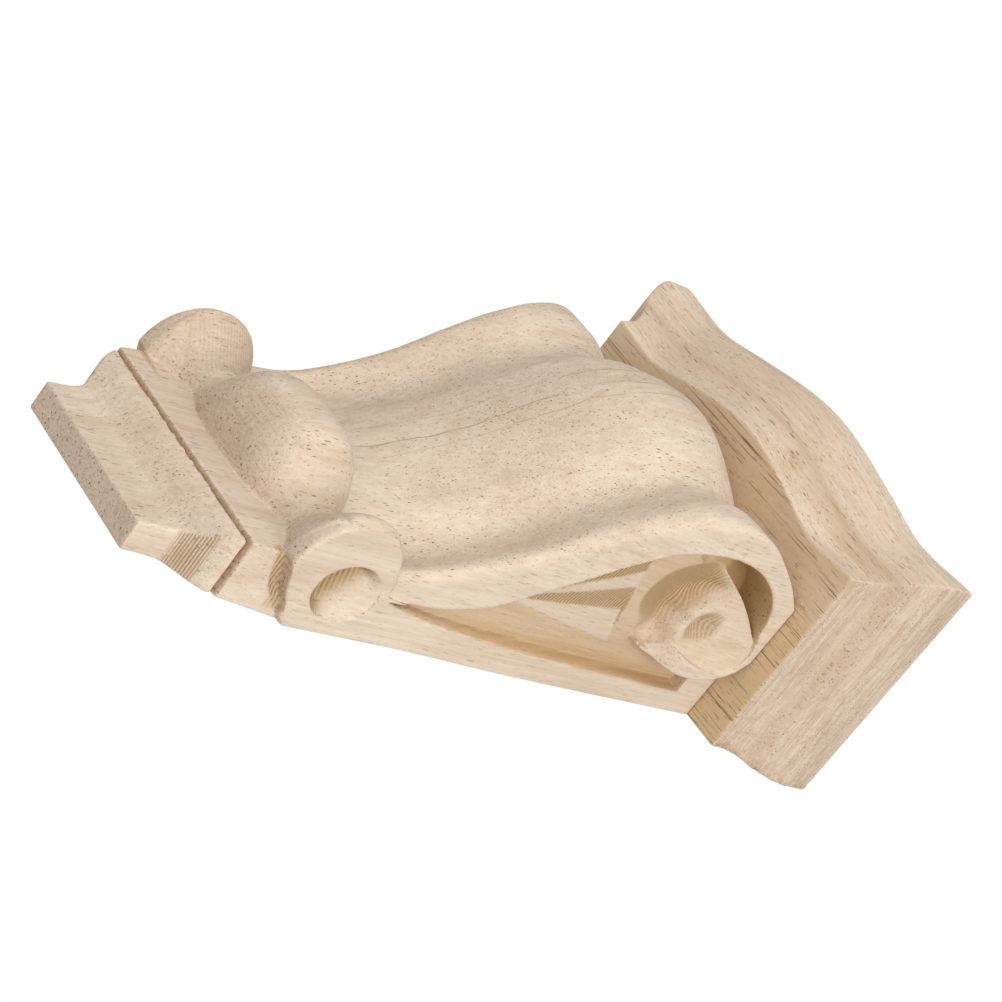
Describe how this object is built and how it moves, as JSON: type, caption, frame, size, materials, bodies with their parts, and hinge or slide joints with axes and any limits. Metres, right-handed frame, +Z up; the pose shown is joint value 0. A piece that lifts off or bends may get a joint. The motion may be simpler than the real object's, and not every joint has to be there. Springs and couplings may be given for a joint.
{
  "type": "carved wood corbel",
  "caption": "Unfinished carved wood corbel: S-scroll body with side volutes and a lower scroll, under a serpentine moulded cap.",
  "frame": {"origin": "middle of the flat back, halfway up the object's height, on the plane that lies against the wall", "axes": "+Z up the wall from the foot to the cap, -Y out of the wall towards the carved front, X across the width"},
  "size_m": [0.1372, 0.0786, 0.222],
  "materials": {
    "body_wood": "bare, sanded, unfinished",
    "cap_wood": "bare, sanded, unfinished"
  },
  "bodies": {
    "root": {"body": "body_wood", "cap": "cap_wood"}
  },
  "joints": []
}
